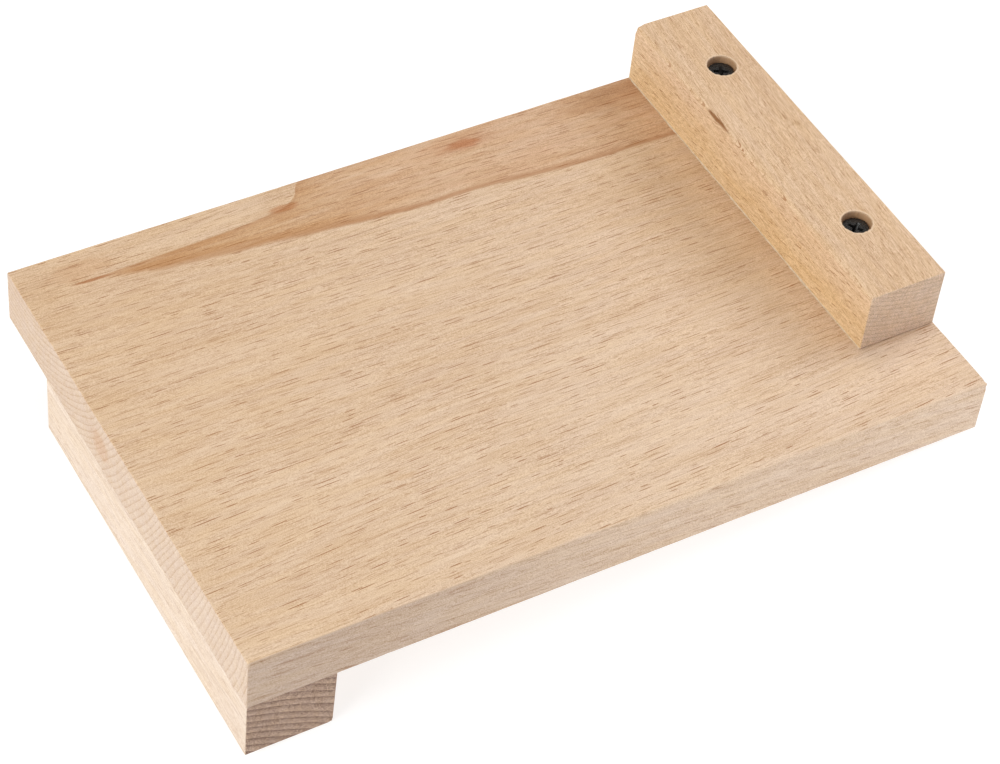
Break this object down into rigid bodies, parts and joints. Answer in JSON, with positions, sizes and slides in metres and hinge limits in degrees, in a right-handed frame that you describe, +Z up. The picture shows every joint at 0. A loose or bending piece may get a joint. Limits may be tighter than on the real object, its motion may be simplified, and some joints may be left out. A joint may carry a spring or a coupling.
{
  "type": "bench hook",
  "caption": "Wooden bench hook: a flat sawing board with a screwed stop on top at one end and a matching cleat underneath at the other.",
  "frame": {"origin": "centre of the board's underside, the face that rests on the bench top", "axes": "+X along the board from the cleat to the stop, +Y across the board towards the edge that the stop is flush with, +Z up out of the face the work is laid on"},
  "size_m": [0.254, 0.17, 0.065],
  "materials": {
    "board_wood": "planed and sanded beech, unfinished, with a reddish heartwood streak",
    "fence_wood": "planed and sanded beech, unfinished",
    "glue": "dried wood glue, slightly translucent",
    "screw_metal": "black phosphated steel, dull with a slight oily sheen"
  },
  "bodies": {
    "root": {"board": "board_wood", "stop": "fence_wood", "cleat": "fence_wood", "stop_glue_line": "glue", "cleat_glue_line": "glue", "stop_screw_near": "screw_metal", "stop_screw_far": "screw_metal", "cleat_screw_near": "screw_metal", "cleat_screw_far": "screw_metal"}
  },
  "joints": []
}
